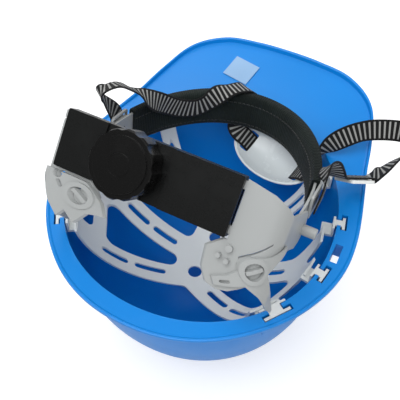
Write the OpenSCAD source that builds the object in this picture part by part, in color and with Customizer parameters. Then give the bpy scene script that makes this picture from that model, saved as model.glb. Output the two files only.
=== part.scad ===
// Safety helmet lying on its crown, with its harness, nape adjuster and chin strap.
// Z is up, the peak points along +Y and the crown rests on the plane Z = 0.

/* [Shell] */
// Width across the rim
rim_w = 221; // [217:1:225]
// Distance from the middle of the shell to the back of the rim
rim_back = 105.5; // [103.5:1:108.5]
// Distance from the middle of the shell to the front edge of the peak
peak_reach = 157.5; // [153.5:1:161.5]
// Height of the front edge of the peak over the rim
peak_rise = 19; // [15:1:23]
// Depth of the bowl under the rim
bowl_depth = 134; // [131:1:138]
// Thickness of the shell wall
wall = 2.6; // [2.3:0.1:3]

/* [Harness] */
// Width of the front headband, measured over its outer face
band_w = 144; // [142:1:146]
// Height of the front headband at the forehead
band_h = 27; // [24:1:30]
// Thickness of the sweatband at its fullest
sweat_t = 5; // [4:0.5:6]
// Thickness of the cradle webs
cradle_t = 1.6; // [1.4:0.1:2]

/* [Nape adjuster] */
// Diameter of the adjusting knob
knob_d = 40; // [36:1:42]
// Height of the adjusting knob
knob_h = 14; // [12:1:16]
// Length of the adjuster housing
case_l = 113; // [109:1:117]
// Height of the adjuster housing
case_h = 35; // [34:1:37]
// Travel of each nape wing out of the housing
wing_travel = 8; // [5:1:8]

/* [Chin strap] */
// Width of the webbing
strap_w = 15; // [13:1:16]
// Thickness of the webbing
strap_t = 1.2; // [1:0.1:1.4]
// Length of the chin cup
cup_l = 66; // [62:1:70]

/* [Hidden] */
eps = 0.01;

// Shell outline and profile
flange_side = 12.9;
flange_back = 11.5;
flange_t = 2.5;
lip_t = 2;
lip_h = 1;
peak_lip_h = 3.2;
bowl_n = 2.05;
profile_n = 2.45;
rise_from = 40;
ridge_proud = 4;
rim_z = bowl_depth + ridge_proud;
bowl_a = rim_w / 2 - flange_side;
bowl_back = rim_back - flange_back;
peak_land = 49;
bowl_front = peak_reach - peak_land;

// Rim radii every ten degrees, from the middle of the back round to the middle of the peak
rim_step = 10;
rim_radii = [105.5, 105.8, 106.1, 106.2, 106.1, 106.4, 107.3, 108.3, 109.6, 110.5,
    111.1, 112.8, 116.8, 124.5, 139, 155.8, 161.2, 158.8, 157.5];
shell_turns = 84;
shell_rings = 11;

// Crown ridges, given as distance off centre and width
ridges = [[-26, 8], [0, 10], [26, 8]];
ridge_over = 2.7;
ridge_n = 2.8;
ridge_short = 6.5;
ridge_end = 42;
ridge_steps = 20;

// Rim sockets, given as angle, half length of the pocket and half length of the tab
sockets = [[43, 7, 4.5], [17.5, 6.5, 5], [-8.5, 7, 5.5], [-33, 10.5, 9.5]];
slot_at = 2.2;
slot_half = 7.5;
slot_out = 5;
pocket_out = 4.2;
pocket_deep = 11.5;
boss_wall = 2;
notch_deep = 3.6;
tab_gap = 1;
notch_gap = 0.4;
tab_t = 1.5;
key_t = 1.9;
neck = 0.5;

// Cradle
cradle_r = 90;
cradle_up = 6;
cradle_top = 8;

function unit_r(t, a, b, n) = pow(pow(abs(cos(t)) / a, n) + pow(abs(sin(t)) / b, n), -1 / n);
function bowl_r(t, g) = unit_r(t, bowl_a + g, (sin(t) > 0 ? bowl_front : bowl_back) + g, bowl_n);
function fold(t) = asin(sin(t));
function rim_scale(t) =
    let(kx = rim_w / 2 / rim_radii[9], ky = sin(t) > 0 ? peak_reach / rim_radii[18] : rim_back / rim_radii[0])
    kx * pow(cos(t), 2) + ky * pow(sin(t), 2);
function rim_r(t) =
    let(q = (fold(t) + 90) / rim_step, i = min(len(rim_radii) - 2, floor(q)), n = len(rim_radii) - 1)
    rim_scale(t) * spline(rim_radii[i == 0 ? 1 : i - 1], rim_radii[i], rim_radii[i + 1],
        rim_radii[i + 1 == n ? n - 1 : i + 2], q - i);
function spline(a, b, c, d, t) =
    0.5 * ((2 * b) + (c - a) * t + (2 * a - 5 * b + 4 * c - d) * t * t + (3 * b - a - 3 * c + d) * t * t * t);
function rise(y) = peak_rise * pow(max(0, y - rise_from) / (peak_reach - rise_from), 2);
function at(r, t) = [r * cos(t), r * sin(t)];
function up(p, z) = [p[0], p[1], rim_z + z];
function on_top(p, dz) = up(p, rise(p[1]) + dz);

// Bowl surface at a point of the plan, g further out than the outer face
function crown_z(x, y, g) =
    let(a = bowl_a + g, b = (y > 0 ? bowl_front : bowl_back) + g,
        q = pow(pow(abs(x) / a, bowl_n) + pow(abs(y) / b, bowl_n), 1 / bowl_n))
    -(bowl_depth + g) * pow(max(0, 1 - pow(q, profile_n)), 1 / profile_n);

function bowl_ring(phi, g) =
    let(s = pow(cos(phi), 2 / profile_n), d = pow(sin(phi), 2 / profile_n))
    [for (i = [0:shell_turns - 1])
        let(t = i * 360 / shell_turns, p = at(bowl_r(t, g) * s, t))
        up(p, -(bowl_depth + g) * d)];
function edge_ring(inset, dz) =
    [for (i = [0:shell_turns - 1])
        let(t = i * 360 / shell_turns, p = at(rim_r(t) - inset, t))
        on_top(p, dz)];
function lip_at(y) = lip_h + (peak_lip_h - lip_h) * min(1, max(0, y - rise_from) / 50);
function lip_ring(inset, drop) =
    [for (i = [0:shell_turns - 1])
        let(t = i * 360 / shell_turns, p = at(rim_r(t) - inset, t))
        on_top(p, lip_at(p[1]) - drop)];
function land_ring(f, g, dz) =
    [for (i = [0:shell_turns - 1])
        let(t = i * 360 / shell_turns, a = bowl_r(t, g), b = rim_r(t) - lip_t - 0.6,
            p = at(a + (b - a) * f, t))
        on_top(p, dz)];

shell_phi = [for (k = [1:shell_rings]) 90 - k * 90 / shell_rings];
shell_rows = concat(
    [for (k = [0:shell_rings - 2]) bowl_ring(shell_phi[k], 0)],
    [land_ring(0, 0, -flange_t), land_ring(0.5, 0, -flange_t), edge_ring(0.8, -flange_t)],
    [edge_ring(0, 0.8 - flange_t), lip_ring(0, 0.5), lip_ring(0.5, 0), lip_ring(lip_t, 0)],
    [land_ring(1, -wall, 0), land_ring(0.66, -wall, 0), land_ring(0.33, -wall, 0), land_ring(0, -wall, 0)],
    [for (k = [shell_rings - 2:-1:0]) bowl_ring(shell_phi[k], -wall)]
);

module closed_loft(rows, first, last) {
    n = len(rows[0]);
    m = len(rows);
    points = concat([first], [for (r = rows) each r], [last]);
    faces = concat(
        [for (i = [0:n - 1]) [0, 1 + i, 1 + (i + 1) % n]],
        [for (k = [0:m - 2]) for (i = [0:n - 1])
            let(a = 1 + k * n + i, b = 1 + k * n + (i + 1) % n) each [[a, a + n, b], [b, a + n, b + n]]],
        [for (i = [0:n - 1]) [m * n + 1, 1 + (m - 1) * n + (i + 1) % n, 1 + (m - 1) * n + i]]
    );
    polyhedron(points, faces, convexity = 8);
}

// Rim frame: X points out through the wall, Y runs along it
function rim_p(t) = at(bowl_r(t, -wall / 2), t);
function rim_turn(t) = let(d = rim_p(t + 1) - rim_p(t - 1)) atan2(d[1], d[0]) - 90;
module at_rim(t) {
    p = rim_p(t);
    translate([p[0], p[1], rim_z]) rotate([0, 0, rim_turn(t)]) children();
}
module both_sides() {
    children();
    mirror([1, 0, 0]) children();
}
module block(x0, x1, half, z0, z1) {
    translate([x0, -half, z0]) cube([x1 - x0, 2 * half, z1 - z0]);
}

function ridge_z(y) =
    let(b = (y > 0 ? bowl_front : bowl_back) - ridge_short, q = min(1, abs(y) / b))
    max(-rim_z, -(rim_z + ridge_over) * pow(max(0, 1 - pow(q, ridge_n)), 1 / ridge_n));
module ridge(x, w) {
    front = ridge_end + bowl_front - bowl_back;
    ys = [for (i = [0:ridge_steps]) -ridge_end + i * (front + ridge_end) / ridge_steps];
    outer = [for (y = ys) [y, min(ridge_z(y), crown_z(x, y, -wall * 0.55)) ]];
    inner = [for (i = [ridge_steps:-1:0]) [ys[i], crown_z(x, ys[i], -wall * 0.55) + 0.4]];
    translate([x - w / 2, 0, rim_z]) rotate([90, 0, 90])
        linear_extrude(height = w) polygon(concat(outer, inner));
}

module shell() {
    wall_out = wall / 2;
    color([0.05, 0.35, 0.8]) difference() {
        union() {
            closed_loft(shell_rows, up([0, 0], -bowl_depth), up([0, 0], wall - bowl_depth));
            for (r = ridges) ridge(r[0], r[1]);
            both_sides() {
                for (s = sockets)
                    at_rim(s[0]) block(0, wall_out + pocket_out + boss_wall, s[1] + boss_wall,
                        -pocket_deep - boss_wall, -1);
                at_rim(slot_at) block(0, wall_out + slot_out + boss_wall, slot_half + boss_wall,
                    -pocket_deep - boss_wall, -1);
            }
        }
        both_sides() {
            for (s = sockets) {
                at_rim(s[0]) block(wall_out, wall_out + pocket_out, s[1], -pocket_deep, 12);
                at_rim(s[0]) block(-4, wall_out + 1, s[2] * neck + notch_gap, -notch_deep, 12);
            }
            at_rim(slot_at) block(wall_out, wall_out + slot_out, slot_half, -40, 12);
        }
    }
}

// Cradle plan
function web(p, q, w) =
    let(d = (q - p) / norm(q - p), n = [-d[1], d[0]] * w / 2) [p + n, p - n, q - n, q + n];
slot_steps = 10;
function slot_end(c, a, w) = [for (k = [0:slot_steps]) c + at(w / 2, a - 90 + k * 180 / slot_steps)];
module slot2(p, q, w) {
    a = atan2(q[1] - p[1], q[0] - p[0]);
    polygon(concat(slot_end(q, a, w), slot_end(p, a + 180, w)));
}
hub_front = [0, 30];
hub_back = [0, -12];
front_foot = [70, 66];
rear_foot = [76, -52];
module cradle_half() {
    polygon(web([-4, hub_front[1]], front_foot, 11.5));
    polygon(web([-4, 8], [74, 6], 19));
    polygon(web([70, 6], [96, 30], 12));
    polygon(web([70, 6], [96, -15], 12));
    polygon(web([-4, hub_back[1]], rear_foot, 19));
    polygon(web([60, -48], [84, -4], 8));
}
module cradle_plan() {
    difference() {
        offset(r = -6, $fn = 20) offset(delta = 6) {
            both_sides_2d() cradle_half();
            translate([0, 8]) square([34, 58], center = true);
        }
        translate([0, -8]) circle(d = 11, $fn = 32);
        translate([0, 27]) circle(d = 9, $fn = 32);
        both_sides_2d() {
            slot2([27, 7.2], [44, 6.8], 4.5);
            slot2([52, 6.6], [66, 6.2], 4.5);
            slot2([21, -22.5], [38, -31.5], 4.5);
            slot2([46, -36], [58, -42], 4.5);
            slot2([43, 52.8], [57, 59.6], 3.6);
            slot2([22, 42.6], [34, 48.5], 3.6);
        }
    }
}
module both_sides_2d() {
    children();
    mirror([1, 0]) children();
}
cradle_steps = 18;
cradle_from = asin((cradle_up + cradle_top) / cradle_r);
function cradle_p(i, r) =
    let(a = cradle_from + i * (90 - cradle_from) / cradle_steps) [r * cos(a), -r * sin(a)];
module cradle() {
    color([0.78, 0.8, 0.8]) union() {
        intersection() {
            translate([0, 0, rim_z + cradle_up]) rotate_extrude($fn = 96) polygon(concat(
                [for (i = [0:cradle_steps]) cradle_p(i, cradle_r)],
                [for (i = [cradle_steps:-1:0]) cradle_p(i, cradle_r - cradle_t)]));
            linear_extrude(height = rim_z) cradle_plan();
        }
        both_sides() for (s = sockets) at_rim(s[0]) cradle_hook(s[0], s[2]);
    }
}
// Hook of one cradle foot: a tab up the inside of the wall, a neck over it and a key in the pocket
key_top = 1.3;
module cradle_hook(t, half) {
    face = -wall / 2 - tab_gap;
    key = wall / 2 + (pocket_out - key_t) / 2;
    reach = cradle_r - 3.5 - norm(rim_p(t));
    block(reach, face, half, -cradle_top - 4, -cradle_top - 1.8);
    block(face - tab_t, face, half, -cradle_top - 4, -key_top);
    block(face - tab_t, key + key_t, half * neck, -key_top - tab_t, -key_top);
    block(key, key + key_t, half, -pocket_deep + 1, -key_top);
}

// Front headband
band_x = 3;
band_z = 42;
band_lean = 13.5;
band_t = 1.6;
band_a = band_w / 2;
band_nose = 100;
band_back = -19;
band_steps = 36;
pin_y = -7;
pin_z = -14;
pin_d = 7;
pin_out = 11.8;
pin_head_d = 11;
pin_head_t = 1.2;
shank_fit = 0.05;
band_round = 7;
module band_frame() {
    translate([band_x, 0, rim_z + band_z]) rotate([-band_lean, 0, 0]) children();
}
function band_arc(g) = [for (i = [0:band_steps])
    let(t = i * 180 / band_steps) [(band_a + g) * cos(t), (band_nose + g) * sin(t)]];
module band_ring(g0, g1) {
    a = band_arc(g1);
    b = band_arc(g0);
    polygon(concat([[band_a + g1, band_back]], a, [[-band_a - g1, band_back]],
        [[-band_a - g0, band_back]], [for (i = [band_steps:-1:0]) b[i]], [[band_a + g0, band_back]]));
}
module along_x(half) {
    rotate([90, 0, 90]) translate([0, 0, -half]) linear_extrude(height = 2 * half) children();
}
hook_y = 13.7;
hook_peg_z = -8;
hook_peg_d = 4;
module band_side_2d() {
    end_h = band_h - 5;
    difference() {
        offset(r = band_round, $fn = 40) offset(delta = -band_round)
            polygon([[band_back, 0], [band_nose + 15, 0], [band_nose + 15, -band_h],
                [45, -band_h], [5, -end_h], [band_back, -end_h]]);
        slot2([30, -6], [48, -6], 3);
        slot2([30, -19], [48, -19], 3);
        translate([pin_y, pin_z]) circle(d = pin_d + 2 * shank_fit, $fn = 48);
        translate([hook_y, hook_peg_z]) circle(d = hook_peg_d + 2 * shank_fit, $fn = 32);
    }
}
module headband_front() {
    color([0.72, 0.74, 0.74]) band_frame() intersection() {
        translate([0, 0, -band_h - 1]) linear_extrude(height = band_h + 2) band_ring(-band_t, 0);
        along_x(band_a + 1) band_side_2d();
    }
}
module temple_pin(s) {
    color([0.8, 0.82, 0.82]) band_frame() scale([s, 1, 1])
        translate([band_a - band_t - 0.2, pin_y, pin_z]) rotate([0, 90, 0]) union() {
            translate([0, 0, -pin_head_t]) cylinder(d = pin_head_d, h = pin_head_t, $fn = 48);
            cylinder(d = pin_d, h = band_t + 0.2 + pin_out - 0.6, $fn = 48);
            translate([0, 0, band_t + 0.2 + pin_out - 0.6])
                cylinder(d1 = pin_d, d2 = pin_d - 1.2, h = 0.6, $fn = 48);
        }
}

// Sweatband: a folded pad that hangs over the front headband
sweat_gap = 0.3;
sweat_from = 13.8;
sweat_steps = 44;
function sweat_at(t, g) = [(band_a + g) * cos(t), (band_nose + g) * sin(t)];
function sweat_section(k) =
    let(h = band_h + 2.5, i = band_t + sweat_gap, f = min(1, 0.35 + 3 * min(k, 1 - k)), d = sweat_t * f)
    [[-i, 1.2 - h * 0.86], [-i, 0.4], [sweat_gap, 0.4], [sweat_gap, -9], [sweat_gap + 1.6, -9],
     [sweat_gap + 1.8, 1], [0.6, 2.4], [-i - d * 0.55, 2.2], [-i - d * 0.95, -1.5],
     [-i - d, -h * 0.35], [-i - d * 0.9, -h * 0.72], [-i - d * 0.45, 1.2 - h * 0.9]];
module sweatband() {
    t0 = sweat_from;
    rows = [for (j = [0:sweat_steps])
        let(k = j / sweat_steps, t = t0 + k * (180 - 2 * t0), s = sweat_section(k))
        [for (p = s) let(q = sweat_at(t, p[0])) [q[0], q[1], p[1]]]];
    n = len(rows[0]);
    points = [for (r = rows) each r];
    faces = concat(
        [[for (i = [n - 1:-1:0]) i]],
        [for (j = [0:sweat_steps - 1]) for (i = [0:n - 1])
            let(a = j * n + i, b = j * n + (i + 1) % n) each [[a, b, a + n], [b, b + n, a + n]]],
        [[for (i = [0:n - 1]) sweat_steps * n + i]]
    );
    color([0.14, 0.18, 0.17]) band_frame() polyhedron(points, faces, convexity = 6);
}

// Nape frame: X along the housing, Y into the head, Z across the housing
nape_y = -50;
nape_z = 80;
nape_lean = 44;
module nape_frame() {
    translate([0, nape_y, rim_z + nape_z]) rotate([-nape_lean, 0, 0]) children();
}
module slab(y0, y1) {
    translate([0, y1, 0]) rotate([90, 0, 0]) linear_extrude(height = y1 - y0) children();
}
module across(y0, y1, d, turns) {
    translate([0, y0, 0]) rotate([-90, 0, 0]) cylinder(d = d, h = y1 - y0, $fn = turns);
}

// Housing depths, from its outer face inwards
case_x = -8.7;
pad_t = 1.4;
cover_t = 1.8;
cavity_d = 2.9;
back_t = 1.8;
floor_y = pad_t;
cavity_y = pad_t + cover_t;
back_y = cavity_y + cavity_d;
case_y = back_y + back_t;
rim_wall = 1.9;
case_corner = 1;
recess_l = 43;
recess_x = -7.8;
knob_x = -17.7;
wing_y = cavity_y + 0.5;
wing_t = 1.8;
rack_gap = 0.25;

// Rack and pinion
module_mm = 1.5;
teeth = 12;
pressure = 25;
addendum = 1.15;
dedendum = 1.5;
backlash = 0.15;
pitch_r = module_mm * teeth / 2;
base_r = pitch_r * cos(pressure);
tip_r = pitch_r + addendum;
root_r = pitch_r - dedendum;
pitch_mm = PI * module_mm;
rack_top = case_h / 2 - rim_wall - rack_gap;
function inv(a) = tan(a) * 180 / PI - a;
half_tooth = 90 / teeth - backlash / 2 / pitch_r * 180 / PI + inv(pressure);
function flank(r) = let(a = acos(min(1, base_r / r))) half_tooth - inv(a);
module pinion_2d() {
    radii = [for (k = [0:5]) max(base_r, root_r) + k * (tip_r - max(base_r, root_r)) / 5];
    polygon([for (i = [0:teeth - 1]) let(c = 90 + i * 360 / teeth) each concat(
        [at(root_r, c - 360 / teeth / 2 + 1), at(root_r, c - flank(base_r))],
        [for (r = radii) at(r, c - flank(r))],
        [for (k = [5:-1:0]) at(radii[k], c + flank(radii[k]))],
        [at(root_r, c + flank(base_r)), at(root_r, c + 360 / teeth / 2 - 1)])]);
}
// Rack from x0 to x1 with teeth that point down to the pinion
module rack_2d(x0, x1, gear_x) {
    low = pitch_r - addendum;
    root = pitch_r + dedendum - 0.1;
    half = pitch_mm / 4 - backlash / 2;
    first = ceil((x0 + 3 - gear_x) / pitch_mm - 0.5);
    last = floor((gear_x + 3 * pitch_mm - gear_x) / pitch_mm - 0.5);
    translate([x0, root]) square([x1 - x0, rack_top - root]);
    for (k = [first:last]) translate([gear_x + (k + 0.5) * pitch_mm, 0])
        polygon([[-half + (pitch_r - low) * tan(pressure), low], [half - (pitch_r - low) * tan(pressure), low],
            [half + (root - pitch_r) * tan(pressure), root + eps], [-half - (root - pitch_r) * tan(pressure), root + eps]]);
}

// Nape wings, drawn flat along the diagonal of their bend: U runs at 45 degrees to the housing
side_x = band_a + 0.4;
bend_left = 6;
bend_right = 14;
wing_end = 93;
pin_run = 0.06;
pin_at = [pin_y * cos(band_lean) + pin_z * sin(band_lean) - nape_y,
    band_z - pin_y * sin(band_lean) + pin_z * cos(band_lean) - nape_z];
pin_nape_y = pin_at[0] * cos(nape_lean) - pin_at[1] * sin(nape_lean);
pin_nape_z = pin_at[0] * sin(nape_lean) + pin_at[1] * cos(nape_lean);
eye_right = [49, -29];
eye_left = [33.8, -29.3];
eye_r = 7.6;
eye_hole_r = 5;
lug = [9, 2.2];
guide_h = 4.6;
mouth = 1;
module bent_plan(s, y0, t, from) {
    bend = s > 0 ? bend_right : bend_left;
    cx = side_x + wing_t - bend;
    cy = wing_y + bend;
    r = bend + wing_y - y0;
    translate([from, y0]) square([cx - from, t]);
    translate([cx, cy]) intersection() {
        difference() {
            circle(r = r, $fn = 72);
            circle(r = r - t, $fn = 72);
        }
        translate([0, -r - 1]) square([r + 1, r + 1]);
    }
    translate([cx + r - t, cy]) square([t, wing_end - cy]);
}
module diagonal() {
    rotate([0, 0, 45]) translate([0, 100, 0]) rotate([90, 0, 0]) linear_extrude(height = 200) children();
}
module sheet(s, y0, t, from) {
    intersection() {
        translate([0, 0, -70]) linear_extrude(height = 90) bent_plan(s, y0, t, from);
        children();
    }
}
wing_top = [[33.8, 17], [39.6, 15.5], [47.4, 13.5], [56.6, 9], [63, 5], [68, 4], [95, 4],
    [99.5, 1], [103, -5], [103, -11], [99.5, -17.5], [93, -20.5], [82, -19], [72, -18], [62, -21.5]];
lobe_right = [[56, -29], [50, -38], [42, -45.5], [37, -47], [32.5, -45.5], [29, -38], [28, -26], [33.8, -19]];
lobe_left = [[55, -26], [49, -37], [42, -39.5], [31, -36], [28, -26], [33, -18]];
module wing_2d(s) {
    difference() {
        polygon(concat(wing_top, s > 0 ? lobe_right : lobe_left));
        if (s > 0) {
            polygon([[41.6, -26.2], [55, -13], [55, -11.6], [41.6, -24.8]]);
        } else {
            translate([46.9, -21.8]) circle(d = 4.6, $fn = 28);
            slot2([44.2, -27.8], [45.6, -25.8], 2.2);
            slot2([37.3, -26], [38.9, -24.6], 2);
        }
    }
}
module wing(s) {
    // The upper rack belongs to the right wing, the lower one to the left wing
    gear_x = s * (knob_x - band_x);
    case_end = s * (case_x - band_x) + case_l / 2 + mouth;
    case_half = case_h / 2 + mouth;
    difference() {
        sheet(s, wing_y, wing_t, -case_l) union() {
            difference() {
                diagonal() wing_2d(s);
                translate([0, -10, -case_half]) cube([case_end, 40, 2 * case_half]);
            }
            slab(0, 20) scale([1, s]) rack_2d(gear_x - 2 * pitch_mm - 4 - wing_travel, case_end + 4, gear_x);
            slab(0, 20) scale([1, s]) translate([case_end - wing_travel - 6, -rack_top])
                square([wing_travel + 10, guide_h]);
        }
        translate([0, pin_nape_y, pin_nape_z]) rotate([0, 90, 0])
            cylinder(d = pin_d + 2 * pin_run, h = 200, $fn = 48);
    }
    sheet(s, wing_y - 2.6, wing_t + 2.1, 0) diagonal() translate(eye(s)) rotate(35) square(lug, center = true);
    if (s > 0) {
        stud(44.5, -28, 3, 3.4);
        stud(50, -29.5, 3, 3.4);
        stud(49, -22.5, 4.2, 2.6);
    }
}
function eye(s) = s > 0 ? eye_right : eye_left;
module stud(x, z, d, h) {
    translate([x, 0, z]) across(wing_y - h, wing_y + 0.5, d, 24);
}
module nape_wing(s) {
    color([0.74, 0.76, 0.76]) nape_frame() translate([band_x, 0, 0]) scale([s, 1, 1]) wing(s);
}

// Hangers that join the wings to the rear sockets
hanger_gap = 0.35;
hanger_t = 1.7;
arms_right = [[47, -22], [56, -19], [67, -12.5], [68.5, -15], [61, -22.5], [57, -29], [64, -38], [75, -48],
    [89.5, -59.6], [88.3, -61], [72, -53.5], [57, -43], [47, -38.5], [41, -42], [35, -44.5], [33, -40.5],
    [39, -36.5], [43, -31]];
arms_left = [[51, -20], [58, -21], [69, -33], [80, -48], [89.5, -59.6], [88.3, -61], [77.9, -55.6],
    [67.4, -44.5], [57.9, -25.5], [53.5, -26], [47.9, -39.1], [42.2, -46], [39.2, -40.6], [33.7, -46],
    [29, -37.8], [24, -36], [20.6, -35.5], [24, -28], [28, -24], [33, -20]];
module hanger_2d(s) {
    difference() {
        union() {
            translate(eye(s)) circle(r = eye_r, $fn = 48);
            polygon(s > 0 ? arms_right : arms_left);
        }
        translate(eye(s)) circle(r = eye_hole_r, $fn = 48);
        if (s > 0) {
            slot2([37.5, -41], [40, -39.8], 1.8);
        } else {
            translate([46.9, -21.8]) circle(d = 4.6, $fn = 28);
            slot2([44.2, -27.8], [45.6, -25.8], 2.2);
        }
    }
}
module hanger(s) {
    y0 = wing_y - hanger_gap - hanger_t;
    color([0.76, 0.78, 0.78]) nape_frame() translate([band_x, 0, 0]) scale([s, 1, 1]) {
        sheet(s, y0, hanger_t, 0) diagonal() hanger_2d(s);
        sheet(s, y0 - 1, hanger_t, 0) diagonal() translate(eye(s)) difference() {
            circle(r = eye_r, $fn = 48);
            circle(r = eye_hole_r, $fn = 48);
        }
    }
}

// Adjuster housing
screw_d = 2.4;
screw_in = 5;
bore_d = 9;
axle_d = 6;
run = 0.05;
module case_2d(l, h) {
    offset(r = case_corner, $fn = 24) square([l - 2 * case_corner, h - 2 * case_corner], center = true);
}
module case_frame() {
    nape_frame() translate([case_x, 0, 0]) children();
}
module case_ends() {
    for (s = [-1, 1]) translate([s * (case_l / 2 - screw_in), 0, 0]) children();
}
module knob_frame() {
    nape_frame() translate([knob_x, 0, 0]) children();
}
module ratchet_cover() {
    inner_h = case_h - 2 * rim_wall;
    left_pad = case_l / 2 + recess_x - recess_l / 2;
    right_pad = case_l / 2 - recess_x - recess_l / 2;
    color([0.1, 0.1, 0.1]) difference() {
        case_frame() difference() {
            union() {
                slab(floor_y, back_y) case_2d(case_l, case_h);
                translate([(left_pad - case_l) / 2, 0, 0]) slab(0, floor_y + eps) case_2d(left_pad, case_h);
                translate([(case_l - right_pad) / 2, 0, 0]) slab(0, floor_y + eps) case_2d(right_pad, case_h);
            }
            translate([-case_l, cavity_y, -inner_h / 2]) cube([2 * case_l, cavity_d + 1, inner_h]);
            case_ends() across(floor_y, back_y, screw_d + 0.1, 24);
        }
        knob_frame() across(-1, back_y, bore_d + 2 * run, 48);
    }
}
module ratchet_back() {
    color([0.13, 0.13, 0.13]) difference() {
        case_frame() difference() {
            slab(back_y, case_y) case_2d(case_l, case_h);
            case_ends() across(0, case_y + 1, screw_d + 0.1, 24);
            for (s = [-1, 1]) for (k = [0:2]) translate([s * (24 + 8 * k), 0, 0])
                slab(case_y - 0.6, case_y + 1) square([3, case_h / 2], center = true);
        }
        knob_frame() across(0, case_y + 1, axle_d, 32);
    }
}
module case_screws() {
    color([0.5, 0.5, 0.5]) case_frame() case_ends() union() {
        across(floor_y + 0.2, case_y + 0.05, screw_d, 24);
        across(case_y + 0.05, case_y + 1, screw_d + 2, 24);
    }
}

// Knob, its gear and its click parts
knob_gap = 0.5;
knob_top = floor_y - knob_gap - knob_h;
disc_d = knob_d - 7.5;
disc_h = 1.2;
lobes = 12;
lobe_cut_r = 6.5;
lobe_depth = 1.1;
skirt_t = 3.2;
drive = 5.6;
cap_d = 13;
detent_h = 4;
detent_out_d = knob_d - 2 * skirt_t - 1.4;
detent_in_d = detent_out_d - 4;
clicks = 24;
module ratchet_knob() {
    color([0.09, 0.09, 0.09]) knob_frame() difference() {
        union() {
            translate([0, knob_top, 0]) rotate([-90, 0, 0])
                cylinder(d1 = knob_d - 1.6, d2 = knob_d, h = 1.2, $fn = 96);
            across(knob_top + 1.2, floor_y - knob_gap, knob_d, 96);
            across(knob_top - disc_h, knob_top + eps, disc_d, 72);
        }
        for (i = [0:lobes - 1]) rotate([0, (i + 0.5) * 360 / lobes, 0])
            translate([knob_d / 2 + lobe_cut_r - lobe_depth, 0, 0]) across(knob_top - 1, floor_y, 2 * lobe_cut_r, 32);
        difference() {
            across(knob_top + 2.6, floor_y, knob_d - 2 * skirt_t, 72);
            across(knob_top + 2, floor_y - knob_gap - detent_h - 0.5, 13, 48);
        }
        slab(knob_top + 3, floor_y) square([drive + 0.1, drive + 0.1], center = true);
        across(knob_top - 3, knob_top + 5, 3.3, 24);
        across(knob_top - disc_h - 1, knob_top - disc_h + 1.6, cap_d + 0.1, 48);
        across(knob_top - disc_h - 1, knob_top + 2, 6.2, 32);
    }
}
module knob_cap() {
    color([0.11, 0.11, 0.11]) knob_frame()
        across(knob_top - disc_h + 0.05, knob_top - disc_h + 1.55, cap_d, 48);
}
module knob_screw() {
    color([0.6, 0.6, 0.62]) knob_frame() difference() {
        union() {
            across(knob_top + 0.45, knob_top + 1.95, 5.8, 32);
            across(knob_top + 1.95, knob_top + 10, 3, 24);
        }
        for (a = [0, 90]) rotate([0, a, 0]) translate([-2, knob_top + 0.4, -0.4]) cube([4, 0.9, 0.8]);
    }
}
module pinion() {
    gear_y = cavity_y + 0.4;
    color([0.8, 0.8, 0.78]) knob_frame() difference() {
        union() {
            slab(gear_y, back_y - 0.4) pinion_2d();
            across(floor_y - knob_gap + 0.2, gear_y + eps, bore_d, 48);
            slab(knob_top + 3.2, floor_y - knob_gap + 0.2 + eps) square([drive, drive], center = true);
            across(back_y - 0.4 - eps, case_y - 0.4, axle_d - 2 * run, 32);
        }
        across(knob_top, knob_top + 12, 3.1, 24);
    }
}
module pawl_wheel() {
    y1 = floor_y - 0.35;
    r = detent_in_d / 2 - 1.15;
    color([0.75, 0.75, 0.73]) knob_frame() difference() {
        slab(y1 - detent_h + 0.8, y1) union() {
            circle(r = r - 3.4, $fn = 48);
            for (a = [0, 120, 240]) rotate(a) {
                polygon([[r - 5, -4], [r - 2.2, -2.8], [r - 1.8, 1.2], [r, 5.2], [r - 1.2, 5.8], [r - 3.6, 2.4], [r - 5, 1]]);
            }
        }
        slab(-20, floor_y) square([drive + 0.1, drive + 0.1], center = true);
        across(floor_y - knob_gap + 0.15, floor_y + 1, bore_d + 0.1, 48);
    }
}
module detent_ring() {
    color([0.2, 0.2, 0.2]) knob_frame() slab(floor_y - detent_h + 0.6, floor_y) difference() {
        circle(d = detent_out_d, $fn = 72);
        polygon([for (i = [0:clicks - 1]) let(a = i * 360 / clicks)
            each [at(detent_in_d / 2, a), at(detent_in_d / 2 + 1.1, a + 4), at(detent_in_d / 2 + 0.3, a + 11)]]);
    }
}

// Webbing
// Each station holds a point on the middle of the webbing and the direction across it, heights over the rim
strap_route = [
    [[-72.1, 12, 30], [0, 1, -0.1]], [[-73, 13, 41], [0, 1, 0.1]], [[-77, 9, 53], [0.1, 0.9, 0.4]],
    [[-78, 6, 61], [0.2, 0.6, 0.7]], [[-75, 7, 67], [0.2, 0.3, 0.9]], [[-70, 13, 68.5], [0.1, 0, 1]],
    [[-66, 19, 64], [0.1, 0, 1]], [[-62, 25.5, 55.5], [0.1, 0.3, 0.95]],
    [[-56.8, 33.1, 45.4], [0, 0.23, 0.97]], [[-52.1, 44.9, 33], [0, 0.23, 0.97]],
    [[-45.9, 55.7, 22.9], [0, 0.23, 0.97]], [[-38.5, 65.6, 17.9], [0, 0.23, 0.97]],
    [[-32.2, 73.1, 19.6], [0, 0.23, 0.97]], [[-27, 80.5, 23.8], [-0.4, 0.5, 0.6]],
    [[-20.5, 89, 25], [-0.7, 0.7, -0.1]], [[-13.5, 98.8, 23], [-0.85, 0.5, -0.1]],
    [[-10, 104.5, 15], [-0.97, 0.2, 0]], [[-10, 102, 5], [-1, -0.1, 0]],
    [[-13, 98, -7], [-0.9, -0.4, -0.1]], [[-14.5, 91, -10.4], [-0.6, -0.75, -0.2]]
];
cup_route = [[-33, 4.4], [-27.8, 1.9], [-24, -2.6], [-20.3, -7.1], [-14, -9.3], [0, -9.5], [14, -9.3],
    [20.3, -7.1], [24, -2.6], [27.8, 1.9], [31, 4.2], [34, 6.6]];
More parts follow.
